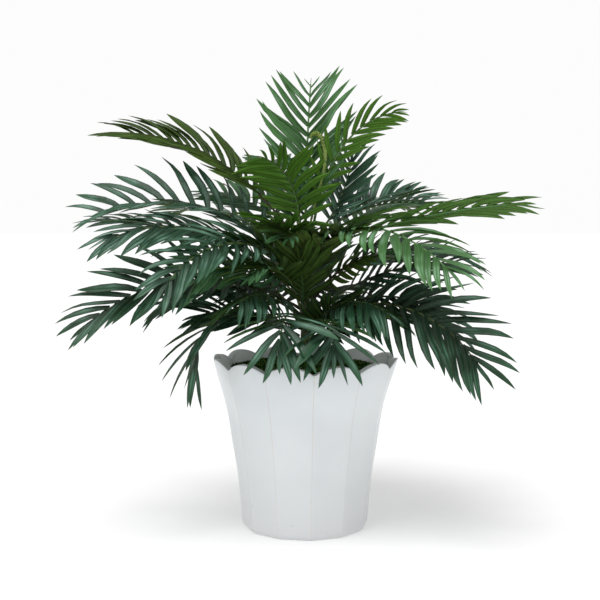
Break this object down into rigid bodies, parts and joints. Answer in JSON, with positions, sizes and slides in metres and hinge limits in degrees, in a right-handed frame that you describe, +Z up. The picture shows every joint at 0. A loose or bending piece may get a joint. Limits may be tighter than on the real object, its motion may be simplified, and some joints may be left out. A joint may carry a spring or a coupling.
{
  "type": "artificial parlour palm in a planter",
  "caption": "Artificial parlour palm: one jointed cane with arching feather fronds on all sides, standing in a mossy fill inside a fluted white planter with a scalloped rim.",
  "frame": {"origin": "centre of the planter's flat underside", "axes": "+Z up along the cane, -Y towards the front of the crown, +X to the right seen from the front"},
  "size_m": [0.7086, 0.6076, 0.6907],
  "materials": {
    "planter_glaze": "satin",
    "moss": "matte",
    "cane": "matte",
    "leaf": "satin"
  },
  "bodies": {
    "root": {"pot": "planter_glaze", "moss_fill": "moss", "cane": "cane", "frond_crown_spear": "leaf", "frond_crown_front": "leaf", "frond_crown_right": "leaf", "frond_upper_left": "leaf", "frond_upper_front": "leaf", "frond_upper_right": "leaf", "frond_middle_left": "leaf", "frond_middle_front_left": "leaf", "frond_middle_left_front": "leaf", "frond_low_left_long": "leaf", "frond_low_right_long": "leaf", "frond_low_left_hanging": "leaf", "frond_rim_front_left": "leaf", "frond_rim_front_right": "leaf", "frond_low_left_upright": "leaf", "frond_inner_left": "leaf", "frond_inner_right": "leaf", "frond_middle_right": "leaf", "frond_upper_right_back": "leaf", "frond_upper_back_right": "leaf", "frond_upper_back_left": "leaf", "frond_middle_left_back": "leaf", "frond_low_left_back": "leaf", "frond_low_right_back": "leaf", "frond_upper_back": "leaf", "frond_middle_back_right": "leaf", "frond_middle_back_left": "leaf", "frond_middle_back": "leaf", "frond_middle_right_back": "leaf", "frond_low_back_left": "leaf", "frond_low_back_right": "leaf", "frond_heart_left": "leaf", "frond_heart_right": "leaf", "frond_inner_front_left": "leaf", "frond_inner_front_right": "leaf", "frond_inner_low_left": "leaf", "frond_inner_low_right": "leaf", "frond_upper_front_left": "leaf", "frond_low_front_left": "leaf", "frond_low_front_right": "leaf", "frond_heart_back_left": "leaf", "frond_heart_back_right": "leaf", "frond_heart_front": "leaf", "frond_heart_front_right": "leaf", "frond_heart_front_low": "leaf", "frond_heart_front_left": "leaf", "frond_heart_upper_right": "leaf", "frond_heart_upper_left": "leaf"}
  },
  "joints": []
}
